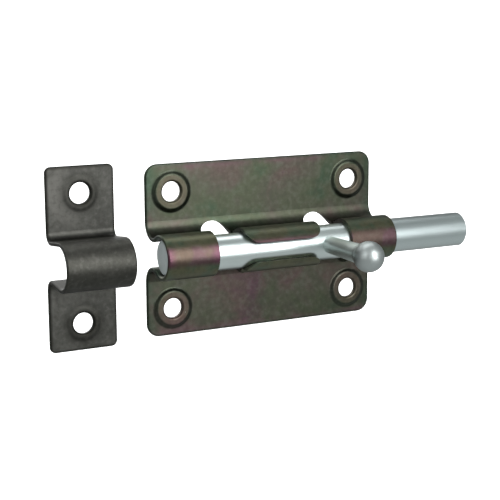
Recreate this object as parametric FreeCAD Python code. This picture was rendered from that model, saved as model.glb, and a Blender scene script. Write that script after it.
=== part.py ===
import FreeCAD, Part
import math
import os

# Barrel bolt with a ball handle, and its keeper.  Sizes are in millimetres.
# X runs along the bolt and the bolt throws towards -X.  The back faces lie on Y = 0 and the
# door is behind them, so the front of the latch faces -Y.  Z is up.  The origin is the middle
# of the mounting plate's back face, level with the bolt's axis.

# Sheet and bolt
SHEET = 1.2                # thickness of both pressings
EDGE_ROUND = 0.5           # rims of both pressings, front and back
BOLT_R = 5.0               # round bar, 10 mm
BOLT_LENGTH = 96.8
BOLT_END_CHAMFER = 0.35
NOSE_RECESS = 1.2          # drawn bolt ends this far inside the left barrel
NOSE_LENGTH = 8.5          # slice of the bar that carries the slide joint
AXIS_Y = -10.4             # bolt axis, in front of the door's surface

# Mounting plate
PLATE_LENGTH = 72.2        # along X
PLATE_HEIGHT = 48.5        # along Z
PLATE_CORNER_R = 3.7
BARREL_LENGTH = 15.1       # each of the two end barrels
BARREL_CLEARANCE = 0.08    # bar to barrel, on the radius
BARREL_BEND_R = 5.0        # bend from a barrel into the flat plate, at the back
BARREL_LEG = 0.4           # straight stretch between the barrel's round and its bend
WINDOW_WIDTH = 9.2         # along X, where the handle swings up or down
WINDOW_INSET = 1.15        # from the top of a window up to where the plate is flat
LIP_CORNER_R = 3.6         # corners of the two lips that guard the slot
SLOT_CLEARANCE = 0.35      # handle to slot, each side

# Keeper
KEEPER_GAP = 9.0           # from the plate's left edge
KEEPER_WIDTH = 19.3        # along X
KEEPER_HEIGHT = 50.5       # along Z
KEEPER_CORNER_R = 1.7
KEEPER_CLEARANCE = 0.5     # bolt to keeper loop, on the radius
KEEPER_BEND_R = 3.2
KEEPER_LEG = 6.2           # straight stretch between the keeper's round and its bend

# Screw holes: a raised boss with a hollow back, pierced by a hole with a rounded edge
PLATE_HOLE_R = 2.8
PLATE_HOLE_FROM_END = 7.7  # hole centres from the plate's left and right edges
PLATE_HOLE_FROM_TOP = 7.8  # and from its top and bottom edges
PLATE_BOSS_R = 6.0
PLATE_BOSS_HEIGHT = 0.6
KEEPER_HOLE_R = 2.9
KEEPER_HOLE_FROM_TOP = 7.45
KEEPER_BOSS_R = 5.2
KEEPER_BOSS_HEIGHT = 0.16
BOSS_SLOPE = 1.4           # width of a boss's sloping side
BOSS_HOLLOW = 0.75         # depth of its hollow back, as a share of its height
HOLE_ROUND = 0.6           # radius of a hole's front edge

# Handle
LIP_GAP = 0.15             # shank to the lips' ends, bolt drawn back
SHANK_R = 2.43             # at the bar
SHANK_END_R = 2.75         # where it runs into the ball
COLLAR_R = 3.05
COLLAR_LENGTH = 0.9
BALL_R = 4.25
BALL_REACH = 25.0          # ball's centre from the bolt's axis
TENON_R = 1.75             # goes through the bar and is riveted over
RIVET_SEAT_R = 2.1
RIVET_SEAT_DEPTH = 0.45
RIVET_HEAD_SINK = 0.2      # riveted head below the bar's surface

X_DIR = FreeCAD.Vector(1, 0, 0)
Y_DIR = FreeCAD.Vector(0, 1, 0)
Z_DIR = FreeCAD.Vector(0, 0, 1)

BARREL_R = BOLT_R + BARREL_CLEARANCE
KEEPER_R = BOLT_R + KEEPER_CLEARANCE
PLATE_LEFT = -PLATE_LENGTH / 2
NOSE_END_X = PLATE_LEFT + NOSE_RECESS
KEEPER_X = PLATE_LEFT - KEEPER_GAP - KEEPER_WIDTH / 2
WINDOW_X = PLATE_LENGTH / 2 - BARREL_LENGTH - WINDOW_WIDTH / 2
LIP_END_X = WINDOW_X - WINDOW_WIDTH / 2
HANDLE_X = LIP_END_X + LIP_GAP + SHANK_R


def across(y, z):
    """A point of a pressing's cross-section, in the plane X = 0."""
    return FreeCAD.Vector(0, y, z)


def flat_start(loop_r, bend_r, leg):
    """Height at which a pressing's bend ends and its flat begins."""
    return math.sqrt(leg**2 + (loop_r + bend_r) ** 2 - (AXIS_Y + bend_r) ** 2)


def loop_section(loop_r, bend_r, leg, half_height):
    """Closed outline of a bent strip: flat, bend, straight leg, round loop, and the same back.

    The strip's inner line is the loop circle about the bolt's axis, a straight leg tangent to
    it, and a bend tangent to the leg and to the back plane.  The outer line is the same line,
    one sheet thickness further out.
    """
    bend_z = flat_start(loop_r, bend_r, leg)
    lean = math.atan2(-AXIS_Y - bend_r, bend_z) - math.atan2(leg, loop_r + bend_r)
    normal = (math.sin(lean), math.cos(lean))

    def line(offset, side):
        """End of the flat, middle and end of the bend, and start of the loop, on one side."""
        radius = bend_r - offset
        half_turn = math.pi / 4 + lean / 2
        bend = (-bend_r, bend_z)
        flat_end = (-offset, bend_z)
        bend_mid = (bend[0] + radius * math.cos(half_turn), bend[1] - radius * math.sin(half_turn))
        bend_end = (bend[0] - radius * normal[0], bend[1] - radius * normal[1])
        reach = loop_r + offset
        loop_start = (AXIS_Y + reach * normal[0], reach * normal[1])
        return [across(y, side * z) for y, z in (flat_end, bend_mid, bend_end, loop_start)]

    def half_line(offset, side):
        """Edges from the strip's end to the start of the loop."""
        flat_end, bend_mid, bend_end, loop_start = line(offset, side)
        strip_end = across(-offset, side * half_height)
        return [
            Part.makeLine(strip_end, flat_end),
            Part.Arc(flat_end, bend_mid, bend_end).toShape(),
            Part.makeLine(bend_end, loop_start),
        ]

    edges = []
    for offset in (0, SHEET):
        front = across(AXIS_Y - loop_r - offset, 0)
        edges += half_line(offset, 1) + half_line(offset, -1)
        edges.append(Part.Arc(line(offset, 1)[3], front, line(offset, -1)[3]).toShape())
    for side in (1, -1):
        edges.append(Part.makeLine(across(0, side * half_height), across(-SHEET, side * half_height)))
    return Part.Face(Part.Wire(Part.__sortEdges__(edges)))


def same(a, b):
    """Whether two lengths are equal, as far as solids can tell."""
    return abs(a - b) < 1e-6


def pressing(loop_r, bend_r, leg, left, length, height, corner_r):
    """A strip with the loop section, extruded along X, with rounded corners and tumbled rims."""
    section = loop_section(loop_r, bend_r, leg, height / 2)
    section.translate(X_DIR * left)
    strip = section.extrude(X_DIR * length)
    corners = [
        edge
        for edge in strip.Edges
        if same(edge.Length, SHEET) and same(abs(edge.CenterOfMass.z), height / 2)
    ]
    strip = strip.makeFillet(corner_r, corners)
    rims = [edge for edge in strip.Edges if not same(edge.Length, SHEET) and not same(edge.Length, length)]
    return strip.makeFillet(EDGE_ROUND, rims)


def swelling(x, z, base_y, radius, height):
    """Round swelling of a flat at base_y: its side is two equal arcs that make an S."""
    bend_r = (BOSS_SLOPE**2 + height**2) / (4 * height)
    half_turn = math.asin(BOSS_SLOPE / 2 / bend_r) / 2
    run, rise = bend_r * math.sin(half_turn), bend_r * (1 - math.cos(half_turn))

    def at(r, up):
        return FreeCAD.Vector(x + r, base_y - up, z)

    foot, shoulder = at(radius, 0), at(radius - BOSS_SLOPE, height)
    middle = at(radius - BOSS_SLOPE / 2, height / 2)
    edges = [
        Part.makeLine(at(0, 0), foot),
        Part.Arc(foot, at(radius - run, rise), middle).toShape(),
        Part.Arc(middle, at(radius - BOSS_SLOPE + run, height - rise), shoulder).toShape(),
        Part.makeLine(shoulder, at(0, height)),
        Part.makeLine(at(0, height), at(0, 0)),
    ]
    return Part.Face(Part.Wire(edges)).revolve(FreeCAD.Vector(x, 0, z), Y_DIR, 360)


def round_edged_hole(x, z, hole_r, front_y):
    """What a screw hole takes out: the hole, and the corner that its round edge loses at front_y."""

    def at(r, y):
        return FreeCAD.Vector(x + r, y, z)

    round_end = at(hole_r, front_y + HOLE_ROUND)
    inset = HOLE_ROUND * (1 - math.cos(math.pi / 4))
    corner = [at(0, SHEET), at(0, front_y), at(hole_r + HOLE_ROUND, front_y)]
    edges = [
        Part.makeLine(corner[0], corner[1]),
        Part.makeLine(corner[1], corner[2]),
        Part.Arc(corner[2], at(hole_r + inset, front_y + inset), round_end).toShape(),
        Part.makeLine(round_end, at(hole_r, SHEET)),
        Part.makeLine(at(hole_r, SHEET), corner[0]),
    ]
    return Part.Face(Part.Wire(edges)).revolve(FreeCAD.Vector(x, 0, z), Y_DIR, 360)


def with_screw_holes(flat, places, hole_r, boss_r, boss_height):
    """Presses a boss into the flat at each (x, z) place and pierces it."""
    bosses = [swelling(x, z, -SHEET, boss_r, boss_height) for x, z in places]
    hollows = [swelling(x, z, 0, boss_r, BOSS_HOLLOW * boss_height) for x, z in places]
    holes = [round_edged_hole(x, z, hole_r, -SHEET - boss_height) for x, z in places]
    return flat.fuse(bosses).cut(hollows + holes)


def window(centre_x):
    """Opening right through the loop, with round ends in the flat of the plate."""
    radius = WINDOW_WIDTH / 2
    bend_r = BARREL_BEND_R
    front_y = AXIS_Y - 2 * BARREL_R
    centre_z = flat_start(BARREL_R, bend_r, BARREL_LEG) - WINDOW_INSET - radius
    left = centre_x - radius
    through_loop = Part.makeBox(
        WINDOW_WIDTH, -bend_r - front_y, 4 * BARREL_R, FreeCAD.Vector(left, front_y, -2 * BARREL_R)
    )
    depth = bend_r + SHEET
    middle = Part.makeBox(WINDOW_WIDTH, depth, 2 * centre_z, FreeCAD.Vector(left, -bend_r, -centre_z))
    ends = [
        Part.makeCylinder(radius, depth, FreeCAD.Vector(centre_x, -bend_r, side * centre_z), Y_DIR)
        for side in (1, -1)
    ]
    return through_loop.fuse([middle] + ends)


def handle_slot(left, right):
    """Slot along the front of the loop, widened with round corners where it meets a window."""
    half = SHANK_R + SLOT_CLEARANCE
    depth = 2 * BARREL_R
    front_y = AXIS_Y - depth
    slot = Part.makeBox(right - left, depth, 2 * half, FreeCAD.Vector(left, front_y, -half))
    tools = [slot]
    for end, inward in ((left, 1), (right, -1)):
        for side in (1, -1):
            corner_x = end if inward > 0 else end - LIP_CORNER_R
            corner_z = half if side > 0 else -half - LIP_CORNER_R
            block = Part.makeBox(
                LIP_CORNER_R, depth, LIP_CORNER_R, FreeCAD.Vector(corner_x, front_y, corner_z)
            )
            centre = FreeCAD.Vector(
                end + inward * LIP_CORNER_R, front_y, side * (half + LIP_CORNER_R)
            )
            tools.append(block.cut(Part.makeCylinder(LIP_CORNER_R, depth, centre, Y_DIR)))
    return tools[0].fuse(tools[1:])


def mounting_plate():
    """One pressing: flat flanges, two barrels, two handle windows, and lips along the slot."""
    plate = pressing(
        BARREL_R, BARREL_BEND_R, BARREL_LEG, PLATE_LEFT, PLATE_LENGTH, PLATE_HEIGHT, PLATE_CORNER_R
    )
    plate = plate.cut([window(-WINDOW_X), window(WINDOW_X), handle_slot(-LIP_END_X, LIP_END_X)])
    hole_x = PLATE_LENGTH / 2 - PLATE_HOLE_FROM_END
    hole_z = PLATE_HEIGHT / 2 - PLATE_HOLE_FROM_TOP
    places = [(x, z) for x in (-hole_x, hole_x) for z in (-hole_z, hole_z)]
    return with_screw_holes(plate, places, PLATE_HOLE_R, PLATE_BOSS_R, PLATE_BOSS_HEIGHT)


def keeper():
    """The strap on the door frame that the thrown bolt goes through."""
    left = KEEPER_X - KEEPER_WIDTH / 2
    strap = pressing(
        KEEPER_R, KEEPER_BEND_R, KEEPER_LEG, left, KEEPER_WIDTH, KEEPER_HEIGHT, KEEPER_CORNER_R
    )
    hole_z = KEEPER_HEIGHT / 2 - KEEPER_HOLE_FROM_TOP
    places = [(KEEPER_X, z) for z in (-hole_z, hole_z)]
    return with_screw_holes(strap, places, KEEPER_HOLE_R, KEEPER_BOSS_R, KEEPER_BOSS_HEIGHT)


def bar_slice(start, end, chamfered_start, chamfered_end):
    """A length of the round bar, with a chamfer at its free end or ends."""
    chamfer_r = BOLT_R - BOLT_END_CHAMFER
    outline = [(start, 0)]
    if chamfered_start:
        outline += [(start, chamfer_r), (start + BOLT_END_CHAMFER, BOLT_R)]
    else:
        outline += [(start, BOLT_R)]
    if chamfered_end:
        outline += [(end - BOLT_END_CHAMFER, BOLT_R), (end, chamfer_r)]
    else:
        outline += [(end, BOLT_R)]
    outline += [(end, 0)]
    points = [FreeCAD.Vector(x, AXIS_Y, r) for x, r in outline]
    face = Part.Face(Part.makePolygon(points + points[:1]))
    return face.revolve(FreeCAD.Vector(0, AXIS_Y, 0), X_DIR, 360)


def bolt_nose():
    """The leading slice of the bar."""
    return bar_slice(NOSE_END_X, NOSE_END_X + NOSE_LENGTH, True, False)


def bolt_bar():
    """The rest of the bar, drilled across for the handle, with a seat for its riveted end."""
    bar = bar_slice(NOSE_END_X + NOSE_LENGTH, NOSE_END_X + BOLT_LENGTH, False, True)
    front = FreeCAD.Vector(HANDLE_X, AXIS_Y - 2 * BOLT_R, 0)
    hole = Part.makeCylinder(TENON_R, 4 * BOLT_R, front, Y_DIR)
    seat_start = FreeCAD.Vector(HANDLE_X, AXIS_Y + BOLT_R - RIVET_SEAT_DEPTH, 0)
    seat = Part.makeCylinder(RIVET_SEAT_R, BOLT_R, seat_start, Y_DIR)
    return bar.cut([hole, seat])


def bolt_handle():
    """Turned handle: ball, collar and tapered shank seated on the bar, and a riveted tenon."""
    collar_end = BALL_REACH - math.sqrt(BALL_R**2 - COLLAR_R**2)
    outline = [
        (0, 0),
        (0, SHANK_R),
        (BOLT_R, SHANK_R),
        (collar_end - COLLAR_LENGTH, SHANK_END_R),
        (collar_end, COLLAR_R),
        (BALL_REACH, COLLAR_R),
        (BALL_REACH, 0),
    ]
    points = [FreeCAD.Vector(HANDLE_X + r, AXIS_Y - reach, 0) for reach, r in outline]
    face = Part.Face(Part.makePolygon(points + points[:1]))
    shank = face.revolve(FreeCAD.Vector(HANDLE_X, 0, 0), Y_DIR, 360)
    ball = Part.makeSphere(BALL_R, FreeCAD.Vector(HANDLE_X, AXIS_Y - BALL_REACH, 0))
    bar_start = FreeCAD.Vector(NOSE_END_X, AXIS_Y, 0)
    seated = shank.fuse(ball).cut(Part.makeCylinder(BOLT_R, BOLT_LENGTH, bar_start, X_DIR))
    tenon_length = 2 * BOLT_R - RIVET_SEAT_DEPTH
    tenon = Part.makeCylinder(
        TENON_R, tenon_length, FreeCAD.Vector(HANDLE_X, AXIS_Y - BOLT_R, 0), Y_DIR
    )
    head_length = RIVET_SEAT_DEPTH - RIVET_HEAD_SINK
    head_start = FreeCAD.Vector(HANDLE_X, AXIS_Y + BOLT_R - RIVET_SEAT_DEPTH, 0)
    head = Part.makeCylinder(RIVET_SEAT_R, head_length, head_start, Y_DIR)
    return seated.fuse([tenon, head]).removeSplitter()


PARTS = {
    "mounting_plate": mounting_plate,
    "keeper": keeper,
    "bolt_nose": bolt_nose,
    "bolt_bar": bolt_bar,
    "bolt_handle": bolt_handle,
}

os.makedirs("parts", exist_ok=True)
for name, make in PARTS.items():
    shape = make()
    if len(shape.Solids) != 1 or not shape.isValid():
        raise ValueError(f"{name} is not one valid solid: {len(shape.Solids)} solids")
    shape = shape.Solids[0]
    shape.exportStep(f"parts/{name}.step")
    print(name, round(shape.Volume, 1), "mm3")
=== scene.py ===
import math

import bpy
import numpy as np
from mathutils import Matrix, Vector


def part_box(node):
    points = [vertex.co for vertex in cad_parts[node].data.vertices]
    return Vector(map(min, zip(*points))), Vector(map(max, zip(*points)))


# Finishes, lamps and camera for the barrel bolt and its keeper.  Lengths are in metres, angles
# in degrees.  The frame gives the solids: X runs along the bolt, the plates' backs lie on Y = 0
# and the latch faces -Y, and Z is up.

MM = 0.001


# ---------------------------------------------------------------- shader helpers

# A Mix node has four sets of sockets.  These are the ones of its colour set.
MIX_AMOUNT, MIX_LOW, MIX_HIGH, MIX_RESULT = 0, 6, 7, 2


class Wire:
    """An output socket that can be used in sums: each operator adds one Math node."""

    def __init__(self, nodes, socket):
        self.nodes = nodes
        self.socket = socket

    def _math(self, operation, *values):
        return self.nodes.add("ShaderNodeMath", {"operation": operation}, values)

    def __add__(self, other):
        return self._math("ADD", self, other)

    def __radd__(self, other):
        return self._math("ADD", other, self)

    def __sub__(self, other):
        return self._math("SUBTRACT", self, other)

    def __rsub__(self, other):
        return self._math("SUBTRACT", other, self)

    def __mul__(self, other):
        return self._math("MULTIPLY", self, other)

    def __abs__(self):
        return self._math("ABSOLUTE", self)

    def least(self, other):
        """The smaller of two values."""
        return self._math("MINIMUM", self, other)

    def angle_to(self, other):
        """Angle of the point (other, self), in radians from the other axis."""
        return self._math("ARCTAN2", self, other)

    def length_with(self, other):
        """Length of the line whose two sides are these values."""
        return self._math("SQRT", self * self + other * other)

    def step(self, start, end):
        """0 below start, 1 above end and a smooth slope between; start may be the larger."""
        span = {"Value": self, "From Min": start, "From Max": end, "To Min": 0, "To Max": 1}
        return self.nodes.add("ShaderNodeMapRange", {"interpolation_type": "SMOOTHSTEP"}, span)


class Nodes:
    """A node tree that can be added to in one call."""

    def __init__(self, tree):
        self.tree = tree

    def add(self, kind, settings=(), inputs=(), output=0):
        """Adds a node: first its settings, then the values or links of its sockets."""
        node = self.tree.nodes.new(kind)
        for name, value in dict(settings).items():
            if name == "stops":
                self._set_stops(node.color_ramp, value)
            else:
                setattr(node, name, value)
        pairs = inputs.items() if isinstance(inputs, dict) else enumerate(inputs)
        for key, value in pairs:
            if isinstance(value, Wire):
                self.tree.links.new(value.socket, node.inputs[key])
            else:
                node.inputs[key].default_value = value
        return Wire(self, node.outputs[output])

    @staticmethod
    def _set_stops(ramp, stops):
        """Fills a colour ramp with (position, colour) pairs."""
        while len(ramp.elements) < len(stops):
            ramp.elements.new(1.0)
        for element, (position, colour) in zip(ramp.elements, stops):
            element.position = position
            element.color = (*colour, 1)


class Finish(Nodes):
    """One metal, built around a Principled shader."""

    def __init__(self, name):
        self.material = bpy.data.materials.new(name)
        self.material.use_nodes = True
        super().__init__(self.material.node_tree)
        self.shader = self.tree.nodes["Principled BSDF"]
        self.shader.inputs["Metallic"].default_value = 1.0
        self.place = self.add("ShaderNodeTexCoord", output="Object")

    def axis(self, name):
        """One coordinate of the piece's own space, in metres."""
        return self.add("ShaderNodeSeparateXYZ", {}, [self.place], output=name)

    def forward(self):
        """How far a point stands in front of the door."""
        return 0 - self.axis("Y")

    def stretched(self, *scale):
        """Place scaled by a different number along X, Y and Z."""
        inputs = {"Vector": self.place, "Scale": scale}
        return self.add("ShaderNodeMapping", {"vector_type": "POINT"}, inputs)

    def noise(self, scale, detail=3.0, roughness=0.55, distortion=0.0, place=None):
        """Cloudy values from 0 to 1; scale is in clouds per metre."""
        inputs = {
            "Vector": place or self.place, "Scale": scale, "Detail": detail,
            "Roughness": roughness, "Distortion": distortion,
        }
        return self.add("ShaderNodeTexNoise", {"noise_dimensions": "3D"}, inputs)

    def streaks(self, detail, roughness, *scale):
        """Noise that is stretched along the axes whose scale is small."""
        return self.noise(1.0, detail, roughness, place=self.stretched(*scale))

    def mix(self, amount, low, high):
        """Colour that goes from low to high with amount."""
        low, high = ((*c, 1) if isinstance(c, tuple) else c for c in (low, high))
        inputs = {MIX_AMOUNT: amount, MIX_LOW: low, MIX_HIGH: high}
        return self.add("ShaderNodeMix", {"data_type": "RGBA"}, inputs, output=MIX_RESULT)

    def ramp(self, value, stops):
        """Colour from a row of (position, colour) stops."""
        return self.add("ShaderNodeValToRGB", {"stops": stops}, [value])

    def from_hole(self, node, from_side, from_top):
        """Distance to the nearest screw hole's axis of a plate, whose holes mirror each other."""
        low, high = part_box(node)
        x = abs(self.axis("X") - (low.x + high.x) / 2) - ((high.x - low.x) / 2 - from_side)
        z = abs(self.axis("Z")) - (high.z - from_top)
        return x.length_with(z)

    def from_outline(self, node):
        """Distance inwards from a plate's outline, seen from the front."""
        low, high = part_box(node)
        x = (high.x - low.x) / 2 - abs(self.axis("X") - (low.x + high.x) / 2)
        return x.least(high.z - abs(self.axis("Z")))

    def bump(self, height, strength):
        """Roughens the surface by a height from 0 to 1, whose full depth is BUMP_DEPTH."""
        inputs = {"Strength": strength, "Distance": BUMP_DEPTH, "Height": height}
        self.drive("Normal", self.add("ShaderNodeBump", {}, inputs))

    def drive(self, socket, value):
        """Links a value to one of the shader's own sockets."""
        self.tree.links.new(value.socket, self.shader.inputs[socket])


# ---------------------------------------------------------------- finishes

# Places on the latch.  A hole is given from the nearest side and from the top or bottom.
AXIS_Y = -10.4 * MM
BARREL_CENTRE_X = 28.5 * MM
PLATE_HOLE = (7.7 * MM, 7.8 * MM)
KEEPER_HOLE = (9.65 * MM, 7.45 * MM)
BOSS_SLOPE_R = 5.4 * MM
BALL_START = 31.0 * MM
RIVET_START_Y = AXIS_Y + 4.3 * MM
RING_MARK_X = -9.4 * MM
BUMP_DEPTH = 0.03 * MM

# Colours of the plate's film, and of the painted sheen and painted shade put on it
FILM = [
    (0.36, (0.034, 0.057, 0.037)),
    (0.45, (0.053, 0.060, 0.040)),
    (0.51, (0.060, 0.060, 0.046)),
    (0.57, (0.070, 0.055, 0.048)),
    (0.64, (0.072, 0.045, 0.053)),
]
RIM_VIOLET = (0.100, 0.056, 0.068)
END_GREEN = (0.028, 0.054, 0.036)
HOLE_COPPER = (0.100, 0.066, 0.052)
# Painted shade in the ring-shaped slope round each boss
SLOPE_SHADE = (0.026, 0.032, 0.024)
# Painted shade along the plate's rounded edges
EDGE_SHADE_GREEN = (0.026, 0.038, 0.026)
# Tints of a painted sheen along the barrels' front, where the highlight falls
COPPER_SHEEN = (0.080, 0.059, 0.046)
PLUM_SHEEN = (0.084, 0.045, 0.060)
MAGENTA_SHEEN = (0.110, 0.042, 0.072)
OLIVE = (0.100, 0.102, 0.063)
GREEN = (0.074, 0.100, 0.066)
# Painted shade on the barrels' tops
SHADED_OLIVE = (0.046, 0.050, 0.032)
STAIN = (0.040, 0.046, 0.036)
LIGHT_GRAIN = (0.14, 0.15, 0.13)
DARK_GRAIN = (0.022, 0.026, 0.020)
FLECK = (0.55, 0.62, 0.56)

# Colours of the keeper
BLACK_ZINC = [
    (0.36, (0.044, 0.044, 0.040)),
    (0.50, (0.066, 0.066, 0.060)),
    (0.64, (0.112, 0.110, 0.101)),
]
LOOP_BLACK = (0.044, 0.044, 0.038)
WORN_GREY = (0.15, 0.145, 0.135)
NEAR_BLACK = (0.018, 0.018, 0.015)
# Painted shade along the keeper's rounded edges
EDGE_SHADE_BLACK = (0.016, 0.016, 0.013)

# Colours of the bar and the handle
BAR_DARK, BAR_LIGHT = (0.48, 0.55, 0.54), (0.64, 0.70, 0.70)
SCUFF_GREY = (0.42, 0.47, 0.46)
FREE_END_GREY = (0.40, 0.46, 0.47)
SEAT_RIM = (0.20, 0.26, 0.26)
SAWN_GREY = (0.21, 0.24, 0.24)
HANDLE_DARK, HANDLE_LIGHT = (0.57, 0.64, 0.62), (0.79, 0.86, 0.84)
BALL_GREY = (0.33, 0.36, 0.36)
RIVET_GREY = (0.22, 0.28, 0.28)


def flange_colour(f, clouds, drift):
    """The plate's flats: film clouds, violet rims, green ends, painted shade on the bosses'
    slopes and along the outline.
    """
    film = clouds * 0.5 + drift * 0.5
    colour = f.ramp(film, FILM)
    rim = abs(f.axis("Z")).step(21.5 * MM, 24.2 * MM) * 0.7
    ends = abs(f.axis("X")).step(32 * MM, 36 * MM) * 0.6
    colour = f.mix(rim * film.step(0.40, 0.56), colour, RIM_VIOLET)
    colour = f.mix(ends * film.step(0.60, 0.44), colour, END_GREEN)
    hole = f.from_hole("mounting_plate", *PLATE_HOLE)
    boss_top = hole.step(4.9 * MM, 4.2 * MM)
    # Painted shade: a dark ring on the slope round each screw boss
    slope_shade = abs(hole - BOSS_SLOPE_R).step(0.9 * MM, 0.4 * MM)
    # Painted shade: a dark green line along the plate's outline, for its rounded edges
    edge_shade = f.from_outline("mounting_plate").step(1.1 * MM, 0.3 * MM)
    colour = f.mix(boss_top * (0.15 + drift * 0.4), colour, HOLE_COPPER)
    colour = f.mix(slope_shade * 0.6, colour, SLOPE_SHADE)
    return f.mix(edge_shade * 0.65, colour, EDGE_SHADE_GREEN)


def barrel_colour(f):
    """The plate's barrels and lips: a painted copper sheen along the front, where the highlight
    falls, and olive above and below it with painted shade on top.
    """
    x = f.axis("X")
    turn = f.axis("Z").angle_to(AXIS_Y - f.axis("Y"))
    # Painted highlight: a copper sheen band round the front of the barrels and lips, tinted plum
    # and, at the left barrel's ends, magenta
    sheen_band = abs(turn - 0.16).step(0.60, 0.30)
    plum_in_sheen = f.noise(150, 2, 0.5).step(0.46, 0.60) * 0.7 + x.step(14 * MM, 26 * MM) * 0.2
    barrel_ends = abs(abs(x) - BARREL_CENTRE_X).step(4.5 * MM, 7.2 * MM)
    left = x.step(10 * MM, -10 * MM)
    sheen_colour = f.mix(plum_in_sheen * 0.8, COPPER_SHEEN, PLUM_SHEEN)
    sheen_colour = f.mix(barrel_ends * left * 0.6, sheen_colour, MAGENTA_SHEEN)
    olive = f.mix(f.noise(120, 3, 0.6).step(0.45, 0.62), OLIVE, GREEN)
    # Painted shade: the tops of the barrels and lips darker, as the light falls on them
    olive = f.mix(turn.step(0.75, 1.2) * 0.5, olive, SHADED_OLIVE)
    return f.mix(sheen_band, olive, sheen_colour)


def iridescent_chromate():
    """Dark passivated zinc on the plate: an olive film with copper, violet and green clouds, and
    painted sheen and shade on the barrels.
    """
    f = Finish("iridescent_passivated_steel")
    clouds = f.noise(70, 4, 0.6, 0.5)
    drift = f.noise(26, 2, 0.5, 0.3)
    speckle = f.noise(620, 3, 0.6)
    loop = f.forward().step(9 * MM, 12 * MM)
    colour = f.mix(loop, flange_colour(f, clouds, drift), barrel_colour(f))
    stain = f.noise(44, 5, 0.65, 1.2).step(0.52, 0.68)
    fleck = f.noise(900, 1, 0.5).step(0.81, 0.84)
    colour = f.mix(stain * 0.35, colour, STAIN)
    colour = f.mix(speckle.step(0.48, 0.66) * 0.12, colour, LIGHT_GRAIN)
    colour = f.mix(speckle.step(0.50, 0.36) * 0.18, colour, DARK_GRAIN)
    f.drive("Base Color", f.mix(fleck * 0.7, colour, FLECK))
    f.drive("Roughness", 0.28 + clouds * 0.14 + speckle * 0.10)
    f.bump(speckle * 0.6 + f.noise(260, 3) * 0.4, 0.35)
    return f.material


def black_chromate():
    """Black passivated zinc on the keeper: satin, with painted shade round its holes and along
    its edges.
    """
    f = Finish("black_passivated_steel")
    clouds = f.noise(90, 4, 0.6, 0.4)
    drift = f.noise(34, 2, 0.5)
    speckle = f.noise(700, 3, 0.6)
    loop = f.forward().step(1.2 * MM, 3.5 * MM)
    colour = f.ramp(clouds * 0.5 + drift * 0.5, BLACK_ZINC)
    colour = f.mix(loop * 0.7, colour, LOOP_BLACK)
    colour = f.mix(speckle.step(0.50, 0.70) * 0.20, colour, WORN_GREY)
    colour = f.mix(speckle.step(0.50, 0.34) * 0.25, colour, NEAR_BLACK)
    hole = f.from_hole("keeper", *KEEPER_HOLE)
    # Painted shade: a dark ring in each countersink and a softer darkening round it
    hole_shade = hole.step(7.0 * MM, 4.4 * MM) * 0.45 + hole.step(3.9 * MM, 3.3 * MM) * 0.40
    # Painted shade: a dark line along the keeper's outline, for its rounded edges, left off the
    # loop
    edge_shade = f.from_outline("keeper").step(1.1 * MM, 0.3 * MM) * (1 - loop)
    colour = f.mix(hole_shade, colour, NEAR_BLACK)
    f.drive("Base Color", f.mix(edge_shade * 0.7, colour, EDGE_SHADE_BLACK))
    f.drive("Roughness", 0.40 + clouds * 0.14 + speckle * 0.08)
    f.bump(speckle * 0.6 + f.noise(300, 3) * 0.4, 0.30)
    return f.material


def bright_zinc():
    """Bright zinc on the bar: streaks along it, sawn ends, and a dark rim at the rivet's seat."""
    f = Finish("bright_zinc_bar")
    x, z = f.axis("X"), f.axis("Z")
    drawn_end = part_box("bolt_nose")[0].x
    free_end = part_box("bolt_bar")[1].x
    handle_x = sum(corner.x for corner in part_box("bolt_handle")) / 2
    drawn = f.streaks(3, 0.6, 45, 1300, 1300)
    scuff = f.streaks(4, 0.7, 200, 650, 650).step(0.60, 0.74)
    clouds = f.noise(110, 3, 0.55)
    at_drawn_end = x.step(drawn_end + 0.25 * MM, drawn_end + 0.05 * MM)
    at_free_end = x.step(free_end - 0.25 * MM, free_end - 0.05 * MM)
    sawn = at_drawn_end + at_free_end
    behind = f.axis("Y").step(AXIS_Y, AXIS_Y + 1 * MM)
    seat_rim = (x - handle_x).length_with(z).step(2.9 * MM, 2.3 * MM) * behind
    ring = abs(x - RING_MARK_X).step(0.22 * MM, 0.04 * MM)
    colour = f.mix(clouds * 0.6 + drawn * 0.4, BAR_DARK, BAR_LIGHT)
    colour = f.mix(scuff * 0.15 + ring * 0.25, colour, SCUFF_GREY)
    # The bar darker towards its free end
    colour = f.mix(x.step(30 * MM, 35 * MM) * 0.6, colour, FREE_END_GREY)
    colour = f.mix(seat_rim * 0.8, colour, SEAT_RIM)
    f.drive("Base Color", f.mix(sawn, colour, SAWN_GREY))
    f.drive("Metallic", 1 - sawn * 0.7)
    f.drive("Roughness", 0.28 + drawn * 0.08 + sawn * 0.22)
    f.bump(drawn * 0.8 + clouds * 0.2, 0.05)
    return f.material


def satin_zinc():
    """Bright zinc on the turned handle: streaks along the shank, darker ball and rivet."""
    f = Finish("satin_zinc_handle")
    ball = f.forward().step(BALL_START - 0.7 * MM, BALL_START + 0.7 * MM)
    rivet = f.axis("Y").step(RIVET_START_Y - 0.1 * MM, RIVET_START_Y + 0.1 * MM)
    streaks = f.streaks(3, 0.6, 1200, 55, 1200)
    clouds = f.noise(220, 3, 0.6)
    colour = f.mix(clouds * 0.5 + streaks * 0.5, HANDLE_DARK, HANDLE_LIGHT)
    colour = f.mix(ball * 0.85, colour, BALL_GREY)
    f.drive("Base Color", f.mix(rivet, colour, RIVET_GREY))
    f.drive("Roughness", 0.36 + ball * 0.02 + clouds * 0.08 + streaks * 0.06)
    f.bump(streaks * (1 - ball) + clouds * ball, 0.25)
    return f.material


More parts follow.
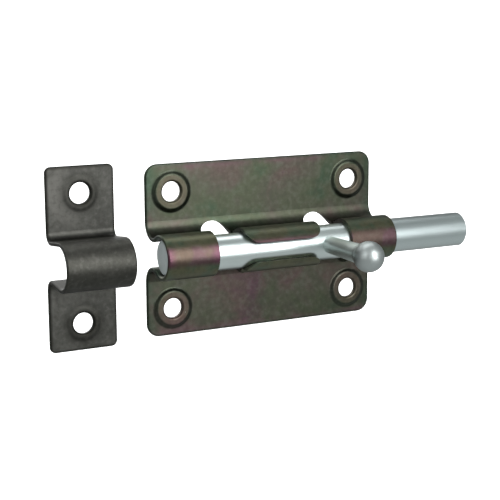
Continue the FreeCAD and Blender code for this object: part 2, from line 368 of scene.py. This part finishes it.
FINISHES = {
    "mounting_plate": iridescent_chromate,
    "keeper": black_chromate,
    "bolt_nose": bright_zinc,
    "bolt_bar": bright_zinc,
    "bolt_handle": satin_zinc,
}


def dress(nodes):
    """Puts each finish on its nodes; nodes with the same finish share one material."""
    made = {}
    for name, finish in FINISHES.items():
        if finish not in made:
            made[finish] = finish()
        nodes[name].data.materials.clear()
        nodes[name].data.materials.append(made[finish])


# ---------------------------------------------------------------- studio

# White paper: a floor disc just under the hanging handle, and a round wall
FLOOR_Z = -31 * MM
WALL_R = 6.0
WALL_HEIGHT = 4.0
WALL_SIDES = 96
PAPER_WHITE = (0.9, 0.9, 0.9, 1)
FLOOR_GLOW = 0.5
WALL_GLOW = 0.95

# Strength of the room's light, by direction
ROOM_COLOUR = (0.96, 1.0, 0.99, 1)
ROOM_FRONT = 0.42
ROOM_BACK = 0.22
ROOM_BELOW = 0.22

# Lamps: name, azimuth from the front, elevation, distance, width, height and power in watts
SOFTBOXES = [
    ("front", 15, 17, 0.7, 0.30, 0.62, 5.0),
    ("left", -62, 25, 0.8, 0.30, 0.60, 1.4),
    ("top", 0, 106, 0.8, 0.9, 0.30, 2.7),
    ("back", 185, 24, 0.8, 0.8, 0.6, 3.0),
]

CAMERA_PLACE = Vector((-0.16896, -0.32177, 0.06606))
CAMERA_YAW = 27.225
CAMERA_PITCH = -10.713
CAMERA_ROLL = -0.254
CAMERA_LENS = 92.17
CAMERA_CLIP = 0.01


def paper(glow):
    """White studio paper that glows a little, so that it stays even far from the lamps."""
    material = bpy.data.materials.new("paper")
    material.use_nodes = True
    sockets = material.node_tree.nodes["Principled BSDF"].inputs
    sockets["Base Color"].default_value = PAPER_WHITE
    sockets["Roughness"].default_value = 0.9
    sockets["Specular IOR Level"].default_value = 0.0
    sockets["Emission Color"].default_value = (1, 1, 1, 1)
    sockets["Emission Strength"].default_value = glow
    return material


def paper_band(name, inner, outer, glow):
    """Ring of paper between two circles, each given by its radius and height."""
    turns = np.linspace(0, 2 * math.pi, WALL_SIDES, endpoint=False)
    points = [(r * math.cos(t), r * math.sin(t), z) for r, z in (inner, outer) for t in turns]
    faces = []
    for i in range(WALL_SIDES):
        after = (i + 1) % WALL_SIDES
        faces.append((i, after, after + WALL_SIDES, i + WALL_SIDES))
    mesh = bpy.data.meshes.new(name)
    mesh.from_pydata(points, [], faces)
    mesh.materials.append(paper(glow))
    piece = bpy.data.objects.new(name, mesh)
    piece.visible_glossy = False
    bpy.context.scene.collection.objects.link(piece)


def surround():
    """Floor and round wall of white paper, left out of mirror reflections."""
    centre, foot, top = (0.0, FLOOR_Z), (WALL_R, FLOOR_Z), (WALL_R, FLOOR_Z + WALL_HEIGHT)
    paper_band("floor", centre, foot, FLOOR_GLOW)
    paper_band("wall", foot, top, WALL_GLOW)


def softbox(name, azimuth, elevation, distance, width, height, power):
    """A rectangular lamp that shines at the latch from azimuth (0 is the front) and elevation."""
    light = bpy.data.lights.new(name, "AREA")
    light.shape = "RECTANGLE"
    light.size, light.size_y = width, height
    light.energy = power
    lamp = bpy.data.objects.new(name, light)
    a, e = math.radians(azimuth), math.radians(elevation)
    towards = Vector((math.sin(a) * math.cos(e), -math.cos(a) * math.cos(e), math.sin(e)))
    lamp.location = towards * distance
    lamp.rotation_mode = "QUATERNION"
    lamp.rotation_quaternion = towards.to_track_quat("Z", "Y")
    bpy.context.scene.collection.objects.link(lamp)


def room():
    """Grey room to reflect: lighter in front of the latch and below, darker behind it."""
    world = bpy.data.worlds.new("room")
    world.use_nodes = True
    nodes = Nodes(world.node_tree)
    way = nodes.add("ShaderNodeTexCoord", output="Generated")
    back = nodes.add("ShaderNodeSeparateXYZ", {}, [way], output="Y").step(-0.1, 0.6)
    below = nodes.add("ShaderNodeSeparateXYZ", {}, [way], output="Z").step(-0.1, -0.8)
    strength = ROOM_FRONT - back * (ROOM_FRONT - ROOM_BACK) + below * ROOM_BELOW
    background = world.node_tree.nodes["Background"]
    background.inputs["Color"].default_value = ROOM_COLOUR
    world.node_tree.links.new(strength.socket, background.inputs["Strength"])
    return world


def studio():
    """White paper round the latch, a grey room to reflect, and soft lamps."""
    surround()
    bpy.context.scene.world = room()
    for box in SOFTBOXES:
        softbox(*box)


def camera():
    """Camera in front of the keeper's side, looking a little down."""
    lens = bpy.data.cameras.new("camera")
    lens.lens = CAMERA_LENS
    lens.clip_start = CAMERA_CLIP
    piece = bpy.data.objects.new("camera", lens)
    yaw, pitch, roll = (math.radians(a) for a in (-CAMERA_YAW, CAMERA_PITCH, CAMERA_ROLL))
    turn = (
        Matrix.Rotation(yaw, 4, "Z")
        @ Matrix.Rotation(math.pi / 2 + pitch, 4, "X")
        @ Matrix.Rotation(roll, 4, "Z")
    )
    piece.matrix_world = Matrix.Translation(CAMERA_PLACE) @ turn
    bpy.context.scene.collection.objects.link(piece)
    bpy.context.scene.camera = piece


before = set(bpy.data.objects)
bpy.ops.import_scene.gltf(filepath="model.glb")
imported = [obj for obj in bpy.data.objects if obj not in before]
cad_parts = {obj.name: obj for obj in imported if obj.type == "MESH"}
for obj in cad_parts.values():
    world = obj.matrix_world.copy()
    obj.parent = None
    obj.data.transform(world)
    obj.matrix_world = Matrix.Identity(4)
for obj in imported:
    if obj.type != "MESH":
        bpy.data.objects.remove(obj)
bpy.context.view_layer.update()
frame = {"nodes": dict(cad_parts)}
dress(frame["nodes"])
studio()
camera()
bpy.context.scene.view_settings.view_transform = "Standard"
